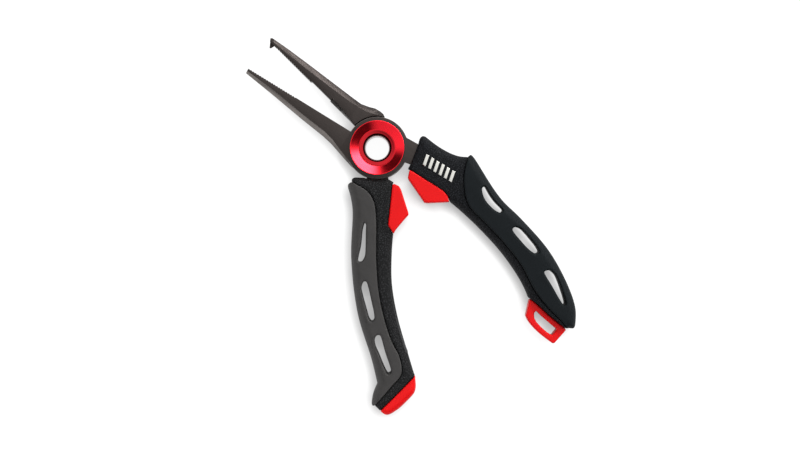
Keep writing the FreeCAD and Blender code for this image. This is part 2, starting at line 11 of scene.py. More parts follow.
import bmesh
import bpy
import numpy as np
from bpy.props import FloatProperty, FloatVectorProperty, IntProperty, PointerProperty
from bpy.types import Operator, Panel, PropertyGroup
from mathutils import Matrix, Vector
from mathutils.geometry import delaunay_2d_cdt


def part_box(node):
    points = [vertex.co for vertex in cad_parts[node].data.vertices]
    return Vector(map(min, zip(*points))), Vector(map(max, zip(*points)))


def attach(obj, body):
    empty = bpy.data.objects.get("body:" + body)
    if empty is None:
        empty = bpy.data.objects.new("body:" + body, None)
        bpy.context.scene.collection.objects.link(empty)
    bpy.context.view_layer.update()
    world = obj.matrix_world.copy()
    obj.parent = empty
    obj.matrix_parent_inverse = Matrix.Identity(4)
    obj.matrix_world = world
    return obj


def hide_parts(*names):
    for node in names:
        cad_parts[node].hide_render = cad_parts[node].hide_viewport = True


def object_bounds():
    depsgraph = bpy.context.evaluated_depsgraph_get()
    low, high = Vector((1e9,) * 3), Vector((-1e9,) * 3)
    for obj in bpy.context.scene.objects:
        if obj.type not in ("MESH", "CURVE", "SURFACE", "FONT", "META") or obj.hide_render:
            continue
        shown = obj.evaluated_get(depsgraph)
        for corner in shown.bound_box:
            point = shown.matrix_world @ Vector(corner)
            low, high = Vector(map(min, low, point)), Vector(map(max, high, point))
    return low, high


bl_info = {
    "name": "Split-ring pliers",
    "version": (1, 0, 0),
    "blender": (4, 5, 0),
    "location": "3D View > Sidebar > Pliers",
    "description": "Builds the visual pieces of a pair of split-ring fishing pliers",
    "category": "Object",
}

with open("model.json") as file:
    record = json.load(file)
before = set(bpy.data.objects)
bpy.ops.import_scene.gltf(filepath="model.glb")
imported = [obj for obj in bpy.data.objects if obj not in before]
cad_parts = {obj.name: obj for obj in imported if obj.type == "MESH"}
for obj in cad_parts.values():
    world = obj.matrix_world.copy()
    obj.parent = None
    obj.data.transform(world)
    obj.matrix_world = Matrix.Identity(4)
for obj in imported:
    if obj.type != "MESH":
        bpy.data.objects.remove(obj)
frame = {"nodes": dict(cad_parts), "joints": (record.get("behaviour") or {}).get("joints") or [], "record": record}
CAD_BOX = [list(corner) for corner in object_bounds()]

MM = 0.001
WELD = 2e-6
FRONT = "front_half"
BACK = "back_half"
HANDLES = {
    FRONT: ("front_grip", "front_palm_pad", "front_pod", "lanyard_loop"),
    BACK: ("back_grip", "back_palm_pad", "back_pod", "heel_cap"),
}
OPEN_ANGLE = math.radians(frame["joints"][0]["range_deg"][1])

# How many points are measured at a time.
BLOCK = 1500
# Least distance between the points of a face, as a share of their spacing.
CLOSEST = 0.45
# How near an outline comes to its neighbour's where the two mouldings meet, in millimetres.
SEAM_REACH = 0.75
# Radius of the levers' lap discs, in millimetres.
DISC_RADIUS = 11.7


def top_of(node):
    """Height of a CAD node's upper face, in millimetres."""
    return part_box(node)[1].z / MM


def size_property(label, value, meaning, low=0.0):
    """A length in millimetres."""
    return FloatProperty(name=label, description=meaning, default=value, min=low)


def colour_property(label, value, meaning):
    """A linear RGB colour."""
    return FloatVectorProperty(
        name=label, description=meaning, default=value, subtype="COLOR", size=3, min=0.0, max=1.0
    )


# ---------------------------------------------------------------- settings


class PliersMouldings(PropertyGroup):
    """Sizes of the moulded handle pieces, in millimetres."""

    side_round: size_property("Side rounding", 3.3, "How far a handle's open sides round inwards")
    side_depth: size_property("Side depth", 3.6, "How far that rounding reaches down")
    hub_round: size_property("Hub end rounding", 1.2, "Rounding of the grips next to the hub")
    hub_reach: size_property("Hub end reach", 17.0, "Distance from the pivot with that rounding")
    seam_round: size_property("Seam rounding", 0.5, "Rounding where two mouldings meet")
    slot_round: size_property("Slot rounding", 0.75, "Rounding round the slots in the pads")
    crown: size_property("Crown", 0.95, "How far the faces fall from the middle to the sides")
    crown_reach: size_property("Crown reach", 8.5, "Width over which they fall")
    grip_step: size_property("Grip step", 0.55, "How far the grips lie below the palm pads")
    bead_height: size_property("Bead height", 0.16, "Raised line in the grip beside the seam")
    bead_place: size_property("Bead place", 1.0, "Distance of that line from the seam")
    bead_width: size_property("Bead width", 0.28, "Half width of that line")
    hard_round: size_property("Hard rounding", 0.55, "Edges of the pods and the lanyard loop")
    heel_round: size_property("Heel rounding", 2.3, "Open edge of the heel cap")
    corner_round: size_property("Corner rounding", 0.16, "Rounding of plan corners")
    seam_swell: size_property("Seam swell", 0.11, "How far walls bulge to meet at the seams")
    spacing: size_property("Mesh spacing", 0.5, "Distance between mesh points", low=0.2)


class PliersLevers(PropertyGroup):
    """Edge sizes of the steel levers, in millimetres."""

    rim_bevel: size_property("Disc bevel", 0.32, "Bevel round the lap discs")
    edge_bevel: size_property("Edge bevel", 0.1, "Bevel of every other sharp edge")
    tooth_bevel: size_property("Tooth bevel", 0.03, "Bevel along the teeth")


class PliersHub(PropertyGroup):
    """Sizes of the turned hub, in millimetres."""

    flange_radius: size_property("Flange radius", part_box("hub_ring")[1].x / MM, "Both flanges")
    rim_width: size_property("Rim width", 0.22, "Flat rim outside the dish")
    step_radius: size_property("Step radius", 6.85, "Inner edge of the dish")
    step_depth: size_property("Step depth", 1.9, "From the rim down to the inner step")
    tube_radius: size_property("Tube radius", 7.5, "Sleeve that the levers turn on")
    bore_radius: size_property(
        "Bore radius", frame["record"]["mounts"][0]["dims"]["r_mm"], "Clear hole through the hub"
    )
    bore_chamfer: size_property("Bore chamfer", 0.4, "Back end of the bore")
    mouth: size_property("Mouth", 0.95, "Widening of the bore's front end")
    edge_round: size_property("Edge rounding", 0.14, "Outer edges of the flanges")
    segments: IntProperty(name="Segments", description="Steps round the hub", default=192, min=24)


class PliersInlay(PropertyGroup):
    """The silver bars in the front grip, in millimetres."""

    count: IntProperty(name="Bars", description="Number of bars", default=6, min=1)
    pitch: size_property("Pitch", 2.3, "Distance from bar to bar")
    width: size_property("Width", 1.3, "Width of a bar along the handle")
    slant: size_property("Slant", 0.9, "How far a bar's outer end stands nearer the hub")
    proud: size_property("Proud", 0.28, "How far the bars stand out of the grip")
    sunk: size_property("Sunk", 0.5, "How far they reach into the grip")
    bevel: size_property("Bevel", 0.12, "Rounding of their edges")


class PliersColours(PropertyGroup):
    """Base colours of the finishes."""

    jaw_steel: colour_property("Jaw steel", (0.037, 0.0310, 0.0288), "Dark oxidised steel")
    # The lighter steel is both rubbed edges on the bevel faces and painted light on the jaw bevels.
    rubbed_and_lit_steel: colour_property("Worn steel", (0.10, 0.090, 0.085), "Rubbed steel edges")
    red_aluminium: colour_property("Red aluminium", (0.80, 0.0070, 0.0190), "Anodised hub")
    red_plastic: colour_property("Red plastic", (0.60, 0.0045, 0.0055), "Pods, loop and heel cap")
    black_pad: colour_property("Black pad", (0.0062, 0.0080, 0.0092), "Palm pad, loop handle")
    black_grip: colour_property("Black grip", (0.0085, 0.0092, 0.0110), "Grip, loop handle")
    grey_pad: colour_property("Grey pad", (0.036, 0.0345, 0.0340), "Palm pad, heel-cap handle")
    grey_grip: colour_property("Grey grip", (0.0135, 0.0138, 0.0145), "Grip, heel-cap handle")
    silver: colour_property("Silver bars", (0.52, 0.515, 0.48), "Brushed bars")
    washer: colour_property("Washers", (0.45, 0.45, 0.44), "Polished spring steel")
    nickel: colour_property("Nickel", (0.62, 0.60, 0.56), "Plated magnets")
    core: colour_property("Core", (0.03, 0.03, 0.032), "Glass-filled core plastic")


class PliersStage(PropertyGroup):
    """Camera, floor and lights."""

    aim: FloatVectorProperty(
        name="Aim", description="Point below the camera", default=(-0.0226, -0.0241, 0.0),
        subtype="TRANSLATION", unit="LENGTH",
    )
    camera_height: FloatProperty(
        name="Camera height", description="Above the lap plane", default=0.64, unit="LENGTH"
    )
    camera_roll: FloatProperty(
        name="Camera roll", description="Turn about the view axis",
        default=math.radians(-58.25), subtype="ANGLE",
    )
    lens: FloatProperty(name="Lens", description="Focal length in millimetres", default=76.0)
    sky: FloatProperty(name="Sky", description="Brightness overhead", default=1.6)
    dusk: FloatProperty(name="Dusk", description="Brightness of the darkest sky", default=0.09)
    key: FloatProperty(name="Key", description="Glow on the main side", default=0.95)
    streak: FloatProperty(name="Streak", description="Bright streak in that glow", default=16.0)
    fill: FloatProperty(name="Fill", description="Glow on the opposite side", default=2.6)
    # paper is the floor's glow in its deepest painted shadow.
    paper: FloatProperty(name="Paper", description="Floor light in its deepest shade", default=0.38)


# ---------------------------------------------------------------- mesh helpers


def new_object(name, mesh, *materials):
    """A piece with its place in its mesh and its object at the origin."""
    for material in materials:
        mesh.materials.append(material)
    piece = bpy.data.objects.new(name, mesh)
    bpy.context.scene.collection.objects.link(piece)
    return piece


def baked(piece):
    """Turns a piece with live modifiers into a plain mesh."""
    graph = bpy.context.evaluated_depsgraph_get()
    mesh = bpy.data.meshes.new_from_object(piece.evaluated_get(graph), depsgraph=graph)
    piece.modifiers.clear()
    old = piece.data
    piece.data = mesh
    bpy.data.meshes.remove(old)
    mesh.name = piece.name
    return piece


def sides_of_view(stage):
    """Level directions towards the key side and towards the fill side of the view."""
    right = Vector((math.cos(stage.camera_roll), math.sin(stage.camera_roll), 0))
    up = Vector((-right.y, right.x, 0))
    return (0.64 * right + 0.77 * up).normalized(), (-0.72 * right - 0.69 * up).normalized()


def placed(piece, body, slot, *nodes):
    """Finishes a piece: puts it in its body and hides the CAD nodes it stands for; the finish slot is not used."""
    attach(piece, body)
    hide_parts(*nodes)
    return piece


def body_of_node(node):
    """The body that a handle's moulding belongs to."""
    return next(name for name, nodes in HANDLES.items() if node in nodes)


# ---------------------------------------------------------------- outlines


def plan_loops(node):
    """The closed outlines of a moulding's upright walls, seen from above, outer one first. They
    are read along the walls' lower ends, where every point stands on the true curve."""
    shape = bmesh.new()
    shape.from_mesh(frame["nodes"][node].data)
    bmesh.ops.remove_doubles(shape, verts=shape.verts, dist=WELD)
    shape.normal_update()
    shape.edges.index_update()
    upright = [face for face in shape.faces if abs(face.normal.z) < 0.02]
    lowest = min(vert.co.z for face in upright for vert in face.verts)
    high = lowest + 0.12 * MM
    edges = {}
    for edge in shape.edges:
        if all(vert.co.z < high for vert in edge.verts):
            rising = [any(v.co.z > high for v in f.verts) for f in edge.link_faces]
            if any(rising) and not all(rising):
                edges[edge.index] = edge
    loops = []
    while edges:
        edge = edges.pop(min(edges))
        start, here = edge.verts
        loop = [start]
        while here != start:
            loop.append(here)
            edge = next(e for e in here.link_edges if e.index in edges)
            del edges[edge.index]
            here = edge.other_vert(here)
        loops.append(np.array([(vert.co.x, vert.co.y) for vert in loop]) / MM)
    shape.free()
    return sorted(loops, key=lambda points: -abs(signed_area(points)))


def signed_area(points):
    """Area of a closed outline, positive where it runs anticlockwise."""
    after = np.roll(points, -1, axis=0)
    return float(np.sum(points[:, 0] * after[:, 1] - points[:, 1] * after[:, 0]) / 2)


def smooth_closed(values, spread):
    """Gaussian smoothing of values along a closed loop; spread is in samples."""
    kernel = np.exp(-2 * (np.pi * np.fft.fftfreq(len(values)) * spread) ** 2)
    shaped = kernel.reshape(-1, *[1] * (values.ndim - 1))
    return np.real(np.fft.ifft(np.fft.fft(values, axis=0) * shaped, axis=0))


def even_loop(points, spacing, rounding, anticlockwise):
    """The same closed outline with rounded corners and evenly spaced points."""
    if (signed_area(points) > 0) != anticlockwise:
        points = points[::-1]
    closed = np.vstack([points, points[:1]])
    along = np.r_[0, np.cumsum(np.linalg.norm(np.diff(closed, axis=0), axis=1))]
    fine = 0.04
    places = np.linspace(0, along[-1], int(along[-1] / fine), endpoint=False)
    dense = np.column_stack([np.interp(places, along, closed[:, k]) for k in (0, 1)])
    dense = smooth_closed(dense, rounding / fine)
    count = max(12, round(along[-1] / spacing))
    return dense[np.linspace(0, len(dense), count, endpoint=False).astype(int)]


def inward(loop):
    """Unit normals pointing to the left of a loop's direction, which is its solid side."""
    ahead = np.roll(loop, -1, axis=0) - np.roll(loop, 1, axis=0)
    ahead /= np.linalg.norm(ahead, axis=1)[:, None]
    return np.column_stack([-ahead[:, 1], ahead[:, 0]])


def nearest(points, others):
    """Distance from each point to the nearest of the others."""
    best = np.full(len(points), 1e9)
    for start in range(0, len(points), BLOCK):
        block = points[start : start + BLOCK]
        gaps = block[:, None] - others[None]
        best[start : start + BLOCK] = np.sqrt((gaps**2).sum(axis=2).min(axis=1))
    return best


class Rim:
    """The outlines of one moulding, as straight segments with a rounding on each."""

    def __init__(self, loops, wide, deep):
        self.a = np.vstack(loops)
        self.b = np.vstack([np.roll(loop, -1, axis=0) for loop in loops])
        self.wide_a = np.concatenate(wide)
        self.wide_b = np.concatenate([np.roll(w, -1) for w in wide])
        self.deep_a = np.concatenate(deep)
        self.deep_b = np.concatenate([np.roll(d, -1) for d in deep])
        self.step = self.b - self.a
        self.square = (self.step**2).sum(axis=1)

    def blocks(self, points):
        """For each block of points, the distance to every segment and the place on it."""
        for start in range(0, len(points), BLOCK):
            block = points[start : start + BLOCK]
            gap_x = block[:, None, 0] - self.a[None, :, 0]
            gap_y = block[:, None, 1] - self.a[None, :, 1]
            share = (gap_x * self.step[:, 0] + gap_y * self.step[:, 1]) / self.square
            share = np.clip(share, 0, 1)
            gap_x = gap_x - share * self.step[:, 0]
            gap_y = gap_y - share * self.step[:, 1]
            yield slice(start, start + len(block)), np.sqrt(gap_x**2 + gap_y**2), share

    def drops(self, points):
        """How far the rounded face lies below full height over each point."""
        result = np.empty(len(points))
        for part, gap, share in self.blocks(points):
            wide = self.wide_a + share * (self.wide_b - self.wide_a)
            deep = self.deep_a + share * (self.deep_b - self.deep_a)
            inside = np.clip(1 - gap / wide, 0, 1)
            drop = deep * (1 - np.sqrt(1 - inside**2))
            result[part] = drop.max(axis=1)
        return result

    def gaps(self, points, chosen=None):
        """Distance from each point to the outline, or to its chosen segments, and the rounding
        at the nearest place."""
        gap_out = np.empty(len(points))
        wide_out = np.empty(len(points))
        for part, gap, share in self.blocks(points):
            if chosen is not None:
                gap = np.where(chosen[None, :], gap, 1e6)
            index = gap.argmin(axis=1)
            gap_out[part] = gap[np.arange(len(gap)), index]
            wide_out[part] = self.wide_a[index]
        return gap_out, wide_out

    def holds(self, points):
        """Whether each point is inside the outline and outside its holes."""
        result = np.zeros(len(points), bool)
        (ax, ay), (bx, by) = self.a.T, self.b.T
        flat = np.where(by == ay, 1e-12, by - ay)
        for start in range(0, len(points), BLOCK):
            block = points[start : start + BLOCK]
            x, y = block[:, 0:1], block[:, 1:2]
            spans = (ay > y) != (by > y)
            crossings = spans & (x < ax + (y - ay) * (bx - ax) / flat)
            result[start : start + BLOCK] = crossings.sum(axis=1) % 2 == 1
        return result


def ring_points(loop, wide, rim, spacing):
    """Points inside an outline, closer together towards its edge where the face bends most."""
    rings = []
    count = 6 if wide.max() > 1.0 else 3
    normals = inward(loop)
    for level in range(1, count + 1):
        depth = wide * (1 - math.cos(math.radians(90 * level / count)))
        points = loop + normals * depth[:, None]
        gap, _ = rim.gaps(points)
        fits = (gap > 0.9 * depth) & rim.holds(points)
        kept = []
        for point in points[fits]:
            recent = kept[-8:] + kept[:8]
            if all(np.hypot(*(point - other)) > CLOSEST * spacing for other in recent):
                kept.append(point)
        rings += kept
    return rings


def spread_points(rim, spacing):
    """Staggered rows of points over the flat part of a face."""
    low, high = rim.a.min(axis=0), rim.a.max(axis=0)
    rows = np.arange(low[1], high[1], spacing * math.sqrt(3) / 2)
    columns = np.arange(low[0], high[0], spacing)
    grid = [
        (x + (number % 2) * spacing / 2, y) for number, y in enumerate(rows) for x in columns
    ]
    points = np.array(grid)
    points = points[rim.holds(points)]
    gap, wide = rim.gaps(points)
    return points[gap > wide + CLOSEST * spacing]


def shell_mesh(name, rim, loops, wide, spacing, height, swell):
    """A closed shell: a face at height(points) over the outline, its mirror image below, and the
    walls between them, which bulge by swell(points) halfway up."""
    inner = [p for loop, w in zip(loops, wide) for p in ring_points(loop, w, rim, spacing)]
    spread = spread_points(rim, spacing)
    points = np.vstack([*loops, np.array(inner).reshape(-1, 2), spread])
    edges = []
    start = 0
    for loop in loops:
        count = len(loop)
        edges += [(start + k, start + (k + 1) % count) for k in range(count)]
        start += count
    flat = [Vector(point) for point in points]
    found, _, faces, *_ = delaunay_2d_cdt(flat, edges, [], 0, 1e-6)
    plan = np.array([tuple(v) for v in found])
    faces = np.array(faces)
    faces = faces[rim.holds(plan[faces].mean(axis=1))]
    one, two, three = plan[faces[:, 0]], plan[faces[:, 1]], plan[faces[:, 2]]
    turn = (two[:, 0] - one[:, 0]) * (three[:, 1] - one[:, 1])
    turn -= (two[:, 1] - one[:, 1]) * (three[:, 0] - one[:, 0])
    faces = faces[np.abs(turn) > 1e-9]
    turn = turn[np.abs(turn) > 1e-9]
    faces[turn < 0] = faces[turn < 0][:, ::-1]
    tall = height(plan)
    upper = np.column_stack([plan, tall])
    lower = np.column_stack([plan, -tall])
    total = len(plan)
    polygons = [tuple(face) for face in faces]
    polygons += [tuple(face[::-1] + total) for face in faces]
    directed = {(a, b) for face in faces.tolist() for a, b in zip(face, face[1:] + face[:1])}
    border = sorted((a, b) for a, b in directed if (b, a) not in directed)
    sideways = np.zeros((total, 2))
    for a, b in border:
        ahead = (plan[b] - plan[a]) / np.linalg.norm(plan[b] - plan[a])
        sideways[[a, b]] += (ahead[1], -ahead[0])
    edge = sorted({index for pair in border for index in pair})
    sideways = sideways[edge] / np.linalg.norm(sideways[edge], axis=1)[:, None]
    bulged = plan[edge] + sideways * swell(plan[edge])[:, None]
    middle = {index: 2 * total + number for number, index in enumerate(edge)}
    verts = [*upper, *lower, *np.column_stack([bulged, np.zeros(len(edge))])]
    for a, b in border:
        polygons.append((a, middle[a], middle[b], b))
        polygons.append((middle[a], a + total, b + total, middle[b]))
    mesh = bpy.data.meshes.new(name)
    mesh.from_pydata([tuple(v * MM) for v in verts], [], polygons)
    used = bmesh.new()
    used.from_mesh(mesh)
    loose = [vert for vert in used.verts if not vert.link_faces]
    bmesh.ops.delete(used, geom=loose, context="VERTS")
    used.to_mesh(mesh)
    used.free()
    mesh.shade_smooth()
    return mesh


# ---------------------------------------------------------------- moulded pieces


def moulded(node, top, side, depth, hole, material, with_bead=False, crown=True, spacing=None):
    """A rounded moulding on a CAD node's outline. side and depth round its open sides, hole its
    holes; where it meets a neighbour it gets the narrow seam rounding."""
    sizes = bpy.context.scene.pliers_mouldings
    spacing = spacing or sizes.spacing
    along = 0.7 * spacing
    outline = [
        even_loop(points, along, sizes.corner_round, number == 0)
        for number, points in enumerate(plan_loops(node))
    ]
    body = body_of_node(node)
    neighbours = [other for other in HANDLES[body] if other != node]
    around = np.vstack([even_loop(plan_loops(other)[0], 0.25, 0.1, True) for other in neighbours])
    wide, deep, seams = [], [], []
    for number, loop in enumerate(outline):
        at_seam = nearest(loop, around) < SEAM_REACH
        near_hub = np.linalg.norm(loop, axis=1) < sizes.hub_reach
        w = np.where(near_hub, min(side, sizes.hub_round), side)
        d = np.where(near_hub, min(depth, sizes.hub_round), depth)
        if number:
            w, d = np.full(len(loop), hole), np.full(len(loop), hole)
        w = np.where(at_seam, min(side, sizes.seam_round), w)
        d = np.where(at_seam, min(depth, sizes.seam_round), d)
        blur = 1.3 / along
        wide.append(smooth_closed(w.astype(float), blur))
        deep.append(smooth_closed(d.astype(float), blur))
        seams.append(at_seam)
    rim = Rim(outline, wide, deep)
    open_side = ~np.concatenate(seams)
    open_side[len(outline[0]) :] = False
    seam = np.concatenate(seams)

    def height(points):
        tall = top - rim.drops(points)
        if crown and open_side.any():
            gap, _ = rim.gaps(points, open_side)
            fall = np.clip(1 - gap / sizes.crown_reach, 0, 1) ** 2
            tall = tall - sizes.crown * fall
        if with_bead and seam.any():
            gap, _ = rim.gaps(points, seam)
            line = np.exp(-(((gap - sizes.bead_place) / sizes.bead_width) ** 2))
            edge, _ = rim.gaps(points, open_side)
            tall = tall + sizes.bead_height * line * np.clip(edge / 2 - 0.8, 0, 1)
        return tall

    def swell(points):
        return np.where(nearest(points, around) < SEAM_REACH, sizes.seam_swell, 0.0)

    mesh = shell_mesh(node, rim, outline, wide, spacing, height, swell)
    piece = new_object(node + "_moulding", mesh, material)
    return piece, body


# ---------------------------------------------------------------- materials


def add_node(tree, kind, **settings):
    """A node with its attributes and, where the name is a socket's, its input values set."""
    node = tree.nodes.new(kind)
    for name, value in settings.items():
        if hasattr(node, name):
            setattr(node, name, value)
        else:
            node.inputs[name.replace("_", " ")].default_value = value
    return node


def maths(tree, operation, one, two=None):
    """A maths node on sockets or numbers."""
    node = add_node(tree, "ShaderNodeMath", operation=operation)
    for socket, value in zip(node.inputs, (one, two)):
        if isinstance(value, bpy.types.NodeSocket):
            tree.links.new(value, socket)
        elif value is not None:
            socket.default_value = value
    return node.outputs["Value"]


def vector_maths(tree, operation, one, two=None):
    """A vector maths node on a socket and, where it needs one, a constant."""
    node = add_node(tree, "ShaderNodeVectorMath", operation=operation)
    tree.links.new(one, node.inputs[0])
    if two is not None:
        node.inputs[1].default_value = two
    return node.outputs["Value" if operation in ("DOT_PRODUCT", "LENGTH") else "Vector"]


def pivot_distance(tree, place):
    """Distance of a place from the pivot's axis, in metres."""
    return vector_maths(tree, "LENGTH", vector_maths(tree, "MULTIPLY", place, (1.0, 1.0, 0.0)))


def new_material(name, colour, **values):
    """A principled material whose even values stand on the shader's own sockets."""
    material = bpy.data.materials.new(name)
    material.use_nodes = True
    material.diffuse_color = (*colour, 1.0)
    tree = material.node_tree
    shader = tree.nodes["Principled BSDF"]
    shader.inputs["Base Color"].default_value = (*colour, 1.0)
    for label, value in values.items():
        shader.inputs[label.replace("_", " ")].default_value = value
    return material, tree, shader


def object_place(tree, scale=(1.0, 1.0, 1.0), turn=0.0):
    """Object coordinates, stretched and turned about Z."""
    place = add_node(tree, "ShaderNodeTexCoord")
    mapping = add_node(tree, "ShaderNodeMapping")
    mapping.vector_type = "TEXTURE"
    mapping.inputs["Rotation"].default_value = (0.0, 0.0, turn)
    mapping.inputs["Scale"].default_value = scale
    tree.links.new(place.outputs["Object"], mapping.inputs["Vector"])
    return mapping.outputs["Vector"]


def noise(tree, place, scale, detail=2.0, roughness=0.5):
    """A noise value; scale is in cells for each metre."""
    node = add_node(tree, "ShaderNodeTexNoise")
    node.inputs["Scale"].default_value = scale
    node.inputs["Detail"].default_value = detail
    node.inputs["Roughness"].default_value = roughness
    tree.links.new(place, node.inputs["Vector"])
    return node.outputs["Fac"]


def between(tree, value, low, high, low_in=0.3, high_in=0.7):
    """A value carried from one range to another."""
    node = add_node(tree, "ShaderNodeMapRange", interpolation_type="SMOOTHSTEP")
    node.inputs["From Min"].default_value = low_in
    node.inputs["From Max"].default_value = high_in
    node.inputs["To Min"].default_value = low
    node.inputs["To Max"].default_value = high
    tree.links.new(value, node.inputs["Value"])
    return node.outputs["Result"]


def blended(tree, one, two, share):
    """A mix of two values; share is the second one's part."""
    mix = add_node(tree, "ShaderNodeMix", data_type="FLOAT")
    mix.inputs["Factor"].default_value = share
    tree.links.new(one, mix.inputs["A"])
    tree.links.new(two, mix.inputs["B"])
    return mix.outputs["Result"]


def vary_roughness(tree, shader, value, low, high, low_in=0.3, high_in=0.7):
    """Roughness that follows a value."""
    tree.links.new(between(tree, value, low, high, low_in, high_in), shader.inputs["Roughness"])


def mottle(tree, shader, value, colour, dark, light):
    """Colours the surface between a darker and a lighter form of its colour."""
    ramp = add_node(tree, "ShaderNodeValToRGB")
    ramp.color_ramp.elements[0].position = 0.3
    ramp.color_ramp.elements[1].position = 0.7
    for element, factor in zip(ramp.color_ramp.elements, (dark, light)):
        element.color = (*[min(1.0, channel * factor) for channel in colour], 1.0)
    tree.links.new(value, ramp.inputs["Fac"])
    tree.links.new(ramp.outputs["Color"], shader.inputs["Base Color"])


def bumps(tree, shader, *layers):
    """Stacks bump layers, each a height value and its distance in millimetres."""
    normal = None
    for value, distance in layers:
        bump = add_node(tree, "ShaderNodeBump")
        bump.inputs["Strength"].default_value = 1.0
        bump.inputs["Distance"].default_value = distance * MM
        tree.links.new(value, bump.inputs["Height"])
        if normal is not None:
            tree.links.new(normal, bump.inputs["Normal"])
        normal = bump.outputs["Normal"]
    tree.links.new(normal, shader.inputs["Normal"])


def steel_material(name, colour, turn, roughness, grain=1.0):
    """Ground and blackened steel: streaks along the jaw, slight mottling and fine pits. grain is
    how strongly they show."""
    material, tree, shader = new_material(name, colour, Metallic=0.9, Roughness=roughness)
    along = object_place(tree, (1.0, 14.0, 1.0), turn)
    even = object_place(tree)
    streaks = noise(tree, along, 5200.0, 3.0, 0.6)
    patches = noise(tree, even, 260.0, 3.0)
    pits = noise(tree, even, 6000.0, 2.0)
    both = blended(tree, streaks, patches, 0.45)
    mottle(tree, shader, both, colour, 1 - 0.18 * grain, 1 + 0.2 * grain)
    vary_roughness(tree, shader, patches, roughness - 0.05, roughness + 0.07)
    bumps(tree, shader, (streaks, 0.006 * grain), (pits, 0.003 * grain))
    return material


def anodised_material(name, colour):
    """Bright red anodised aluminium with turning marks round the pivot; the step inside the dish and the bore's
    mouth get painted shade, their base colour darkened where the recess lies in shade."""
    material, tree, shader = new_material(
        name, colour, Metallic=1.0, Roughness=0.2, Coat_Weight=0.25, Coat_Roughness=0.18
    )
    place = object_place(tree)
    rings = add_node(tree, "ShaderNodeTexWave", wave_type="RINGS", rings_direction="Z")
    rings.inputs["Scale"].default_value = 1400.0
    rings.inputs["Distortion"].default_value = 0.4
    rings.inputs["Detail"].default_value = 1.0
    tree.links.new(place, rings.inputs["Vector"])
    cloud = noise(tree, place, 420.0, 2.0)
    mottle(tree, shader, cloud, colour, 0.95, 1.04)
    radius = pivot_distance(tree, place)
    # Painted shade: the base colour falls to 0.46 on the step inside the dish and by a further 0.35 in the bore's
    # mouth.
    step = between(tree, radius, 0.46, 1.0, 6.8 * MM, 7.0 * MM)
    mouth = between(tree, radius, 0.35, 1.0, 5.3 * MM, 5.5 * MM)
    painted_recess_shade = add_node(tree, "ShaderNodeVectorMath", operation="SCALE")
    tree.links.new(shader.inputs["Base Color"].links[0].from_socket, painted_recess_shade.inputs[0])
    tree.links.new(maths(tree, "MULTIPLY", step, mouth), painted_recess_shade.inputs["Scale"])
    tree.links.new(painted_recess_shade.outputs["Vector"], shader.inputs["Base Color"])
    vary_roughness(tree, shader, cloud, 0.18, 0.23)
    bumps(tree, shader, (rings.outputs["Fac"], 0.0012))
    return material


def plastic_material(name, colour, roughness, specular, grain):
    """Moulded plastic with a fine spark-eroded grain and faint flow marks."""
    material, tree, shader = new_material(
        name, colour, Roughness=roughness, Specular_IOR_Level=specular
    )
    place = object_place(tree)
    flow = noise(tree, place, 140.0, 2.0)
    fine = noise(tree, place, 5200.0, 2.0, 0.6)
    mottle(tree, shader, flow, colour, 0.96, 1.03)
    vary_roughness(tree, shader, fine, roughness - 0.05, roughness + 0.06)
    bumps(tree, shader, (fine, grain))
    return material


def rubber_material(name, colour, roughness, specular):
    """Soft-touch rubber: a matt skin with fine grain, faint scuffs and a little sheen."""
    material, tree, shader = new_material(
        name, colour, Roughness=roughness, Specular_IOR_Level=specular,
        Sheen_Weight=0.01, Sheen_Roughness=0.5,
    )
    place = object_place(tree)
    grain = noise(tree, place, 3800.0, 3.0, 0.6)
    scuffs = noise(tree, object_place(tree, (1.0, 4.0, 1.0)), 320.0, 4.0, 0.6)
    mottle(tree, shader, blended(tree, grain, scuffs, 0.5), colour, 0.8, 1.25)
    vary_roughness(tree, shader, scuffs, roughness - 0.06, roughness + 0.06)
    bumps(tree, shader, (grain, 0.012))
    return material


def leather_material(name, colour, roughness, specular, cell, height):
    """Rubber moulded with a pebbled leather grain; cell is the pebbles' size in millimetres."""
    material, tree, shader = new_material(
        name, colour, Roughness=roughness, Specular_IOR_Level=specular
    )
    place = object_place(tree)
    shift = add_node(tree, "ShaderNodeTexNoise")
    shift.inputs["Scale"].default_value = 900.0
    tree.links.new(place, shift.inputs["Vector"])
    warped = add_node(tree, "ShaderNodeVectorMath", operation="MULTIPLY_ADD")
    warped.inputs[1].default_value = (0.4 * MM,) * 3
    tree.links.new(shift.outputs["Color"], warped.inputs[0])
    tree.links.new(place, warped.inputs[2])
    pebbles = add_node(tree, "ShaderNodeTexVoronoi", feature="DISTANCE_TO_EDGE")
    pebbles.inputs["Scale"].default_value = 1.0 / (cell * MM)
    tree.links.new(warped.outputs["Vector"], pebbles.inputs["Vector"])
    creases = between(tree, pebbles.outputs["Distance"], 0.0, 1.0, 0.0, 0.32)
    fine = noise(tree, place, 5200.0, 2.0)
    # Painted shade: the base colour is darker down in the creases between the pebbles.
    mottle(tree, shader, creases, colour, 0.5, 1.3)
    vary_roughness(tree, shader, creases, roughness + 0.1, roughness - 0.04, 0.0, 1.0)
    bumps(tree, shader, (creases, height), (fine, 0.006))
    return material


def brushed_material(name, colour, roughness, stretch):
    """Bare or plated metal with brush marks; stretch is the texture's scale by axis."""
    material, tree, shader = new_material(name, colour, Metallic=1.0, Roughness=roughness)
    marks = noise(tree, object_place(tree, stretch), 5200.0, 3.0, 0.6)
    mottle(tree, shader, marks, colour, 0.86, 1.1)
    vary_roughness(tree, shader, marks, roughness - 0.06, roughness + 0.08)
    bumps(tree, shader, (marks, 0.004))
    return material


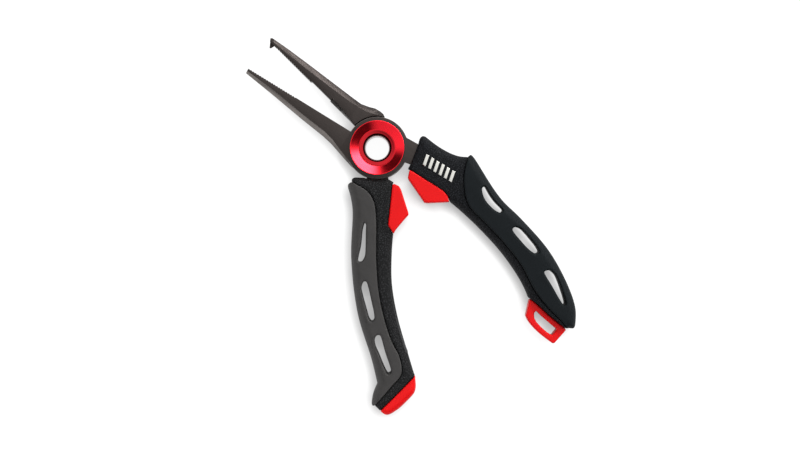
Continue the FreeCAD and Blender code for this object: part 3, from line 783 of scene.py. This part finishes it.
def floor_material():
    """White studio paper that glows. Painted shadow: its glow fades, by an occlusion mask, beside whatever stands
    towards the key side; painted light: the glow is full in a spot below the hub's bore."""
    stage = bpy.context.scene.pliers_stage
    grey = (0.1, 0.1, 0.1)
    material, tree, shader = new_material(
        "studio_paper", grey, Roughness=0.9, Specular_IOR_Level=0.0,
        Emission_Color=(1.0, 1.0, 1.0, 1.0),
    )
    place = object_place(tree)
    # Painted light: a full glow in a spot under the bore.
    spot = between(tree, pivot_distance(tree, place), 0.95, 0.0, 4.1 * MM, 5.4 * MM)
    lean = add_node(tree, "ShaderNodeCombineXYZ")
    towards = sides_of_view(stage)[0] * 0.9 + Vector((0, 0, 1))
    for socket, value in zip(lean.inputs, towards.normalized()):
        socket.default_value = value
    # Painted shadow: the glow follows ambient occlusion, leaned towards the key side.
    shade = add_node(tree, "ShaderNodeAmbientOcclusion")
    shade.samples = 24
    shade.inputs["Distance"].default_value = 6.0 * MM
    tree.links.new(lean.outputs["Vector"], shade.inputs["Normal"])
    light = between(tree, shade.outputs["AO"], stage.paper, 1.0, 0.2, 0.92)
    tree.links.new(maths(tree, "MAXIMUM", light, spot), shader.inputs["Emission Strength"])
    mottle(tree, shader, noise(tree, place, 900.0, 3.0), grey, 0.98, 1.0)
    return material


def finish(name):
    """The named finish, made the first time it is asked for."""
    label = name + "_finish"
    if label in bpy.data.materials:
        return bpy.data.materials[label]
    colour = bpy.context.scene.pliers_colours
    makers = {
        "front_steel": lambda: steel_material(label, colour.jaw_steel, 0.0, 0.4),
        "back_steel": lambda: steel_material(label, colour.jaw_steel, -OPEN_ANGLE, 0.4),
        "rubbed_and_lit_steel": lambda: steel_material(label, colour.rubbed_and_lit_steel, 0.0, 0.36, 0.35),
        "red_aluminium": lambda: anodised_material(label, colour.red_aluminium),
        "red_plastic": lambda: plastic_material(label, colour.red_plastic, 0.42, 0.1, 0.004),
        "black_pad": lambda: rubber_material(label, colour.black_pad, 0.58, 0.06),
        "grey_pad": lambda: rubber_material(label, colour.grey_pad, 0.55, 0.16),
        "black_grip": lambda: leather_material(label, colour.black_grip, 0.58, 0.08, 0.75, 0.1),
        "grey_grip": lambda: leather_material(label, colour.grey_grip, 0.58, 0.08, 0.8, 0.1),
        "silver_inlay": lambda: brushed_material(label, colour.silver, 0.28, (1.0, 9.0, 1.0)),
        "washer_steel": lambda: brushed_material(label, colour.washer, 0.25, (4.0, 1.0, 1.0)),
        "magnet": lambda: brushed_material(label, colour.nickel, 0.2, (1.0, 1.0, 1.0)),
        "core_plastic": lambda: plastic_material(label, colour.core, 0.5, 0.4, 0.006),
    }
    return makers[name]()


# ---------------------------------------------------------------- geometry nodes


def new_tree(name, *sockets):
    """A geometry node tree with a geometry input and the named inputs. Gives the tree, its input
    and output nodes and the identifiers of its inputs by name."""
    tree = bpy.data.node_groups.new(name, "GeometryNodeTree")
    tree.interface.new_socket("Geometry", in_out="INPUT", socket_type="NodeSocketGeometry")
    identifiers = {}
    for label, kind in sockets:
        made = tree.interface.new_socket(label, in_out="INPUT", socket_type="NodeSocket" + kind)
        identifiers[label] = made.identifier
    tree.interface.new_socket("Geometry", in_out="OUTPUT", socket_type="NodeSocketGeometry")
    return tree, tree.nodes.new("NodeGroupInput"), tree.nodes.new("NodeGroupOutput"), identifiers


def finish_tree(tree, start, end, geometry):
    """Ends a tree in Realize Instances and Set Material."""
    real = add_node(tree, "GeometryNodeRealizeInstances")
    painted = add_node(tree, "GeometryNodeSetMaterial")
    tree.links.new(geometry, real.inputs["Geometry"])
    tree.links.new(real.outputs["Geometry"], painted.inputs["Geometry"])
    tree.links.new(start.outputs["Material"], painted.inputs["Material"])
    tree.links.new(painted.outputs["Geometry"], end.inputs["Geometry"])


def run_tree(piece, tree, identifiers, **values):
    """Puts a tree on a piece, sets its inputs and turns the result into a plain mesh."""
    modifier = piece.modifiers.new(tree.name, "NODES")
    modifier.node_group = tree
    for label, value in values.items():
        modifier[identifiers[label]] = value
    return baked(piece)


def lathe_tree():
    """Turns a closed profile, drawn in the XZ plane, about Z: a grid with one column for each
    profile point is rolled up and welded into a closed solid."""
    tree, start, end, identifiers = new_tree("lathe", ("Segments", "Int"), ("Material", "Material"))
    profile = start.outputs["Geometry"]
    size = add_node(tree, "GeometryNodeAttributeDomainSize")
    tree.links.new(profile, size.inputs["Geometry"])
    around = maths(tree, "ADD", start.outputs["Segments"], 1.0)
    grid = add_node(tree, "GeometryNodeMeshGrid")
    tree.links.new(size.outputs["Point Count"], grid.inputs["Vertices X"])
    tree.links.new(around, grid.inputs["Vertices Y"])
    index = add_node(tree, "GeometryNodeInputIndex").outputs["Index"]
    shifted = maths(tree, "ADD", index, 0.5)
    column = maths(tree, "FLOOR", maths(tree, "DIVIDE", shifted, around))
    row = maths(tree, "SUBTRACT", index, maths(tree, "MULTIPLY", column, around))
    angle = maths(tree, "DIVIDE", maths(tree, "MULTIPLY", row, math.tau), start.outputs["Segments"])
    place = add_node(tree, "GeometryNodeInputPosition")
    sample = add_node(tree, "GeometryNodeSampleIndex", data_type="FLOAT_VECTOR", domain="POINT")
    tree.links.new(profile, sample.inputs["Geometry"])
    tree.links.new(place.outputs["Position"], sample.inputs["Value"])
    tree.links.new(column, sample.inputs["Index"])
    turned = add_node(tree, "ShaderNodeVectorRotate", rotation_type="Z_AXIS")
    tree.links.new(sample.outputs["Value"], turned.inputs["Vector"])
    tree.links.new(angle, turned.inputs["Angle"])
    moved = add_node(tree, "GeometryNodeSetPosition")
    tree.links.new(grid.outputs["Mesh"], moved.inputs["Geometry"])
    tree.links.new(turned.outputs["Vector"], moved.inputs["Position"])
    welded = add_node(tree, "GeometryNodeMergeByDistance")
    welded.inputs["Distance"].default_value = 1e-6
    tree.links.new(moved.outputs["Geometry"], welded.inputs["Geometry"])
    finish_tree(tree, start, end, welded.outputs["Geometry"])
    return tree, identifiers


def row_tree():
    """Repeats a piece along Y."""
    tree, start, end, identifiers = new_tree(
        "row", ("Count", "Int"), ("Pitch", "Float"), ("Material", "Material")
    )
    step = add_node(tree, "ShaderNodeCombineXYZ")
    tree.links.new(maths(tree, "MULTIPLY", start.outputs["Pitch"], -1.0), step.inputs["Y"])
    line = add_node(tree, "GeometryNodeMeshLine", mode="OFFSET")
    tree.links.new(start.outputs["Count"], line.inputs["Count"])
    tree.links.new(step.outputs["Vector"], line.inputs["Offset"])
    placed_copies = add_node(tree, "GeometryNodeInstanceOnPoints")
    tree.links.new(line.outputs["Mesh"], placed_copies.inputs["Points"])
    tree.links.new(start.outputs["Geometry"], placed_copies.inputs["Instance"])
    finish_tree(tree, start, end, placed_copies.outputs["Instances"])
    return tree, identifiers


def profile_object(name, points):
    """A closed profile in the XZ plane from (radius, z) points in millimetres."""
    closed = [*points, points[0]]
    mesh = bpy.data.meshes.new(name)
    edges = [(k, k + 1) for k in range(len(closed) - 1)]
    mesh.from_pydata([(r * MM, 0.0, z * MM) for r, z in closed], edges, [])
    return new_object(name, mesh)


def outward(piece, sharp=math.radians(32)):
    """Turns a closed piece's faces outwards and shades it smooth between its sharp edges."""
    shape = bmesh.new()
    shape.from_mesh(piece.data)
    bmesh.ops.remove_doubles(shape, verts=shape.verts, dist=WELD / 4)
    bmesh.ops.recalc_face_normals(shape, faces=shape.faces)
    for face in shape.faces:
        face.smooth = True
    for edge in shape.edges:
        edge.smooth = not (edge.is_manifold and edge.calc_face_angle(0.0) > sharp)
    shape.to_mesh(piece.data)
    shape.free()
    return piece


def arc(centre, radius, start, stop, steps=5):
    """Points of a profile's rounding, with angles in degrees."""
    angles = np.radians(np.linspace(start, stop, steps))
    return [(centre[0] + radius * math.cos(a), centre[1] + radius * math.sin(a)) for a in angles]


# ---------------------------------------------------------------- operators


class PLIERS_OT_stage(Operator):
    """Camera, floor and sky"""

    bl_idname = "pliers.stage"
    bl_label = "Stage"

    def execute(self, context):
        stage = context.scene.pliers_stage
        camera_data = bpy.data.cameras.new("camera")
        camera_data.lens = stage.lens
        camera_data.sensor_width = 36.0
        camera_data.clip_start = 0.01
        camera = bpy.data.objects.new("camera", camera_data)
        camera.location = Vector(stage.aim) + Vector((0, 0, stage.camera_height))
        camera.rotation_euler = (0.0, 0.0, stage.camera_roll)
        context.scene.collection.objects.link(camera)
        context.scene.camera = camera
        self.make_floor()
        self.make_sky(context.scene)
        context.scene.view_settings.view_transform = "Standard"
        return {"FINISHED"}

    def make_floor(self):
        """A square of paper at the height of the lowest part."""
        half = 1.5
        low = CAD_BOX[0][2]
        corners = [(-half, -half, low), (half, -half, low), (half, half, low), (-half, half, low)]
        mesh = bpy.data.meshes.new("floor")
        mesh.from_pydata(corners, [], [(0, 1, 2, 3)])
        new_object("floor", mesh, floor_material())

    def make_sky(self, scene):
        """A dome that is bright overhead, with a glow low on two opposite sides and a streak in
        one of them; the dark sectors between them show in the turned metal."""
        stage = scene.pliers_stage
        key_side, fill_side = sides_of_view(stage)
        world = bpy.data.worlds.new("studio")
        world.use_nodes = True
        tree = world.node_tree
        way = add_node(tree, "ShaderNodeTexCoord").outputs["Generated"]
        split = add_node(tree, "ShaderNodeSeparateXYZ")
        tree.links.new(way, split.inputs["Vector"])
        rise = split.outputs["Z"]
        flat = vector_maths(tree, "MULTIPLY", way, (1.0, 1.0, 0.0))
        flat = vector_maths(tree, "NORMALIZE", flat)
        overhead = vector_maths(
            tree, "DOT_PRODUCT", way, (key_side * 0.4 + Vector((0, 0, 1))).normalized()
        )
        top = between(tree, overhead, stage.dusk, stage.sky, 0.6, 0.86)
        to_key = vector_maths(tree, "DOT_PRODUCT", flat, key_side)
        to_fill = vector_maths(tree, "DOT_PRODUCT", flat, fill_side)
        key = maths(
            tree, "MULTIPLY", between(tree, to_key, 0.0, stage.key, 0.45, 0.8),
            between(tree, rise, 1.0, 0.0, 0.45, 0.68),
        )
        streak = maths(
            tree, "MULTIPLY", between(tree, to_key, 0.0, stage.streak, 0.66, 0.97),
            maths(
                tree, "MULTIPLY", between(tree, rise, 0.0, 1.0, 0.3, 0.4),
                between(tree, rise, 1.0, 0.0, 0.46, 0.56),
            ),
        )
        fill = maths(
            tree, "MULTIPLY", between(tree, to_fill, 0.0, stage.fill, 0.35, 0.75),
            between(tree, rise, 1.0, 0.0, 0.25, 0.62),
        )
        light = maths(tree, "ADD", maths(tree, "ADD", top, key), maths(tree, "ADD", streak, fill))
        background = tree.nodes["Background"]
        background.inputs["Color"].default_value = (1.0, 1.0, 1.0, 1.0)
        tree.links.new(light, background.inputs["Strength"])
        scene.world = world


class PLIERS_OT_levers(Operator):
    """Both steel levers, with bevelled and rubbed edges and painted light on the jaws' bevels"""

    bl_idname = "pliers.levers"
    bl_label = "Steel levers"

    def execute(self, context):
        self.make_lever("front_lever", FRONT, 0.0)
        self.make_lever("back_lever", BACK, OPEN_ANGLE)
        return {"FINISHED"}

    def is_lit_jaw_bevel(self, body, way, centre):
        """Whether a face is a bevel ground along the jaw, which gets painted light: the lighter steel stands for
        the light it catches. Its normal and centre are given for the closed lever."""
        if not 0.15 < abs(way.z) < 0.95 or way.x >= -0.3:
            return False
        if body == FRONT:
            return centre.y > 8.0
        return 12.0 < centre.y < 26.0 and 0.0 < centre.x < 2.0

    def make_lever(self, node, body, swing):
        """A bevelled copy of a lever; swing turns it to its closed position."""
        sizes = bpy.context.scene.pliers_levers
        shape = bmesh.new()
        shape.from_mesh(frame["nodes"][node].data)
        bmesh.ops.remove_doubles(shape, verts=shape.verts, dist=WELD)
        bmesh.ops.dissolve_limit(
            shape, angle_limit=math.radians(0.4), verts=shape.verts, edges=shape.edges
        )
        weight = shape.edges.layers.float.new("bevel_weight_edge")
        closed = Matrix.Rotation(swing, 3, "Z")
        # Painted light: the jaw bevels take the second, lighter steel finish.
        for face in shape.faces:
            if self.is_lit_jaw_bevel(body, closed @ face.normal, closed @ face.calc_center_median() / MM):
                face.material_index = 1
        for edge in shape.edges:
            if not edge.is_manifold or edge.calc_face_angle(0.0) < math.radians(25):
                continue
            ends = [closed @ vert.co / MM for vert in edge.verts]
            reach = [math.hypot(end.x, end.y) for end in ends]
            if all(abs(r - DISC_RADIUS) < 0.03 for r in reach):
                edge[weight] = 1.0
            elif all(r < 8.0 for r in reach):
                edge[weight] = 0.0
            elif all(end.y > 35.0 and abs(end.x) < 0.7 for end in ends):
                edge[weight] = sizes.tooth_bevel / sizes.rim_bevel
            else:
                edge[weight] = sizes.edge_bevel / sizes.rim_bevel
        mesh = bpy.data.meshes.new(node)
        shape.to_mesh(mesh)
        shape.free()
        steel = finish("front_steel" if body == FRONT else "back_steel")
        # The second finish is the lighter steel: rubbed edges on the bevel faces and painted light on the jaw
        # bevels.
        piece = new_object(node + "_steel", mesh, steel, finish("rubbed_and_lit_steel"))
        bevel = piece.modifiers.new("bevel", "BEVEL")
        bevel.limit_method = "WEIGHT"
        bevel.width = sizes.rim_bevel * MM
        bevel.segments = 2
        bevel.material = 1
        bevel.use_clamp_overlap = True
        baked(piece)
        outward(piece, math.radians(35))
        placed(piece, body, "jaw_steel", node)


class PLIERS_OT_hub(Operator):
    """The dished red ring and the flanged sleeve, turned by geometry nodes"""

    bl_idname = "pliers.hub"
    bl_label = "Hub"

    def execute(self, context):
        hub = context.scene.pliers_hub
        tree, identifiers = lathe_tree()
        top = top_of("hub_ring")
        step = top - hub.step_depth
        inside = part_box("hub_ring")[0].z / MM
        flange = 4.25
        gap = 0.02
        rim = hub.flange_radius - hub.rim_width
        spigot = 5.82
        edge = hub.edge_round
        back_edge = 0.4
        foot = hub.step_radius + 0.2
        cone = [
            (foot + (rim - foot) * share, step + 0.07 + (hub.step_depth - 0.07) * share)
            for share in np.linspace(0, 1, 9)
        ]
        ring = [
            (spigot, inside + gap),
            (spigot, step - 0.04),
            (hub.step_radius - 0.35, step + 0.12),
            (hub.step_radius - 0.1, step + 0.1),
            (hub.step_radius, step + 0.02),
            (hub.step_radius + 0.12, step + 0.02),
            *cone,
            *arc((hub.flange_radius - edge, top - edge), edge, 90, 0),
            *arc((hub.flange_radius - edge, flange + edge), edge, 0, -90, 3),
            (hub.tube_radius, flange),
            (hub.tube_radius, inside + gap),
        ]
        bore, cut = hub.bore_radius, hub.bore_chamfer
        low = -top
        mouth = hub.mouth
        sleeve = [
            (bore, low + cut),
            (bore, step - 1.7 * mouth),
            (bore + 0.3 * mouth, step - 0.9 * mouth),
            (bore + 0.85 * mouth, step - 0.16),
            (bore + mouth, step - 0.1),
            (spigot - gap, step - 0.05),
            (spigot - gap, inside),
            (hub.tube_radius, inside),
            (hub.tube_radius, -flange),
            *arc((hub.flange_radius - 0.3, -flange - edge), edge, 90, 60, 2),
            *arc((hub.flange_radius - back_edge, low + back_edge), back_edge, 0, -90, 6),
            (hub.tube_radius + 0.6, low),
            (hub.tube_radius + 0.45, low + 0.12),
            (hub.tube_radius + 0.15, low + 0.12),
            (hub.tube_radius, low),
            *arc((bore + cut, low + cut), cut, -90, -180, 4)[:-1],
        ]
        red = finish("red_aluminium")
        for node, points in (("hub_ring", ring), ("hub_sleeve", sleeve)):
            piece = profile_object(node + "_turned", points)
            run_tree(piece, tree, identifiers, Segments=hub.segments, Material=red)
            outward(piece, math.radians(15))
            placed(piece, FRONT, "red_aluminium", node)
        return {"FINISHED"}


class PLIERS_OT_grips(Operator):
    """The two textured grips"""

    bl_idname = "pliers.grips"
    bl_label = "Grips"

    def execute(self, context):
        sizes = context.scene.pliers_mouldings
        for node, slot in (("front_grip", "black_grip"), ("back_grip", "grey_grip")):
            top = top_of(node) - sizes.grip_step
            piece, body = moulded(
                node, top, sizes.side_round, sizes.side_depth, sizes.slot_round, finish(slot), True
            )
            placed(piece, body, slot, node)
        return {"FINISHED"}


class PLIERS_OT_palm_pads(Operator):
    """The two slotted palm pads"""

    bl_idname = "pliers.palm_pads"
    bl_label = "Palm pads"

    def execute(self, context):
        sizes = context.scene.pliers_mouldings
        for node, slot in (("front_palm_pad", "black_pad"), ("back_palm_pad", "grey_pad")):
            piece, body = moulded(
                node, top_of(node), sizes.side_round, sizes.side_depth, sizes.slot_round,
                finish(slot),
            )
            placed(piece, body, slot, node)
        return {"FINISHED"}


class PLIERS_OT_red_parts(Operator):
    """The magnet pods, the lanyard loop and the heel cap"""

    bl_idname = "pliers.red_parts"
    bl_label = "Red plastic parts"

    def execute(self, context):
        sizes = context.scene.pliers_mouldings
        hard, heel = sizes.hard_round, sizes.heel_round
        for node, side in (
            ("front_pod", hard), ("back_pod", hard), ("lanyard_loop", hard), ("heel_cap", heel)
        ):
            piece, body = moulded(
                node, top_of(node), side, side, hard, finish("red_plastic"), crown=False,
                spacing=0.4,
            )
            placed(piece, body, "red_plastic", node)
        return {"FINISHED"}


class PLIERS_OT_inlay(Operator):
    """The row of silver bars, repeated by geometry nodes"""

    bl_idname = "pliers.inlay"
    bl_label = "Silver bars"

    def execute(self, context):
        inlay = context.scene.pliers_inlay
        sizes = context.scene.pliers_mouldings
        low, high = [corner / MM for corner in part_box("side_inlay")]
        top = top_of("front_grip") - sizes.grip_step
        start = high.y
        plan = [
            (low.x, start - inlay.slant),
            (high.x, start),
            (high.x, start - inlay.width),
            (low.x, start - inlay.slant - inlay.width),
        ]
        shape = bmesh.new()
        base = [shape.verts.new(Vector((x, y, top - inlay.sunk)) * MM) for x, y in plan]
        face = shape.faces.new(base)
        raised = bmesh.ops.extrude_face_region(shape, geom=[face])["geom"]
        lifted = [item for item in raised if isinstance(item, bmesh.types.BMVert)]
        bmesh.ops.translate(shape, verts=lifted, vec=(0, 0, (inlay.proud + inlay.sunk) * MM))
        bmesh.ops.bevel(
            shape, geom=shape.edges[:], offset=inlay.bevel * MM, segments=3, profile=0.5,
            affect="EDGES",
        )
        mesh = bpy.data.meshes.new("silver_bars")
        shape.to_mesh(mesh)
        shape.free()
        piece = new_object("silver_bars", mesh)
        tree, identifiers = row_tree()
        run_tree(
            piece, tree, identifiers, Count=inlay.count, Pitch=inlay.pitch * MM,
            Material=finish("silver_inlay"),
        )
        outward(piece, math.radians(40))
        placed(piece, FRONT, "silver_inlay", "side_inlay")
        return {"FINISHED"}


class PLIERS_OT_inner_parts(Operator):
    """Finishes of the washers, the cores and the magnets, which keep their CAD shape"""

    bl_idname = "pliers.inner_parts"
    bl_label = "Inner parts"

    def execute(self, context):
        kept = {
            "washer_steel": ("front_washer", "lap_washer", "back_washer"),
            "core_plastic": ("front_core", "back_core"),
            "magnet": ("front_magnet", "back_magnet"),
        }
        for name, nodes in kept.items():
            for node in nodes:
                for slot in frame["nodes"][node].material_slots:
                    slot.material = finish(name)
        return {"FINISHED"}


class PLIERS_PT_sidebar(Panel):
    """Lists the pieces and their settings"""

    bl_idname = "PLIERS_PT_sidebar"
    bl_label = "Split-ring pliers"
    bl_space_type = "VIEW_3D"
    bl_region_type = "UI"
    bl_category = "Pliers"

    def draw(self, context):
        for operator in OPERATORS:
            self.layout.operator(operator.bl_idname)
        for name, group in SETTINGS.items():
            box = self.layout.box()
            box.label(text=group.__name__)
            for item in group.__annotations__:
                box.prop(getattr(context.scene, name), item)


SETTINGS = {
    "pliers_mouldings": PliersMouldings,
    "pliers_levers": PliersLevers,
    "pliers_hub": PliersHub,
    "pliers_inlay": PliersInlay,
    "pliers_colours": PliersColours,
    "pliers_stage": PliersStage,
}
OPERATORS = (
    PLIERS_OT_stage,
    PLIERS_OT_levers,
    PLIERS_OT_hub,
    PLIERS_OT_grips,
    PLIERS_OT_palm_pads,
    PLIERS_OT_red_parts,
    PLIERS_OT_inlay,
    PLIERS_OT_inner_parts,
)
CLASSES = (*SETTINGS.values(), *OPERATORS, PLIERS_PT_sidebar)


def register():
    for item in CLASSES:
        bpy.utils.register_class(item)
    for name, group in SETTINGS.items():
        setattr(bpy.types.Scene, name, PointerProperty(type=group))


def unregister():
    for name in SETTINGS:
        delattr(bpy.types.Scene, name)
    for item in reversed(CLASSES):
        bpy.utils.unregister_class(item)


def main():
    """Registers the classes and builds every piece in order."""
    register()
    for operator in OPERATORS:
        group, name = operator.bl_idname.split(".")
        getattr(getattr(bpy.ops, group), name)()


if __name__ == "__main__":
    main()
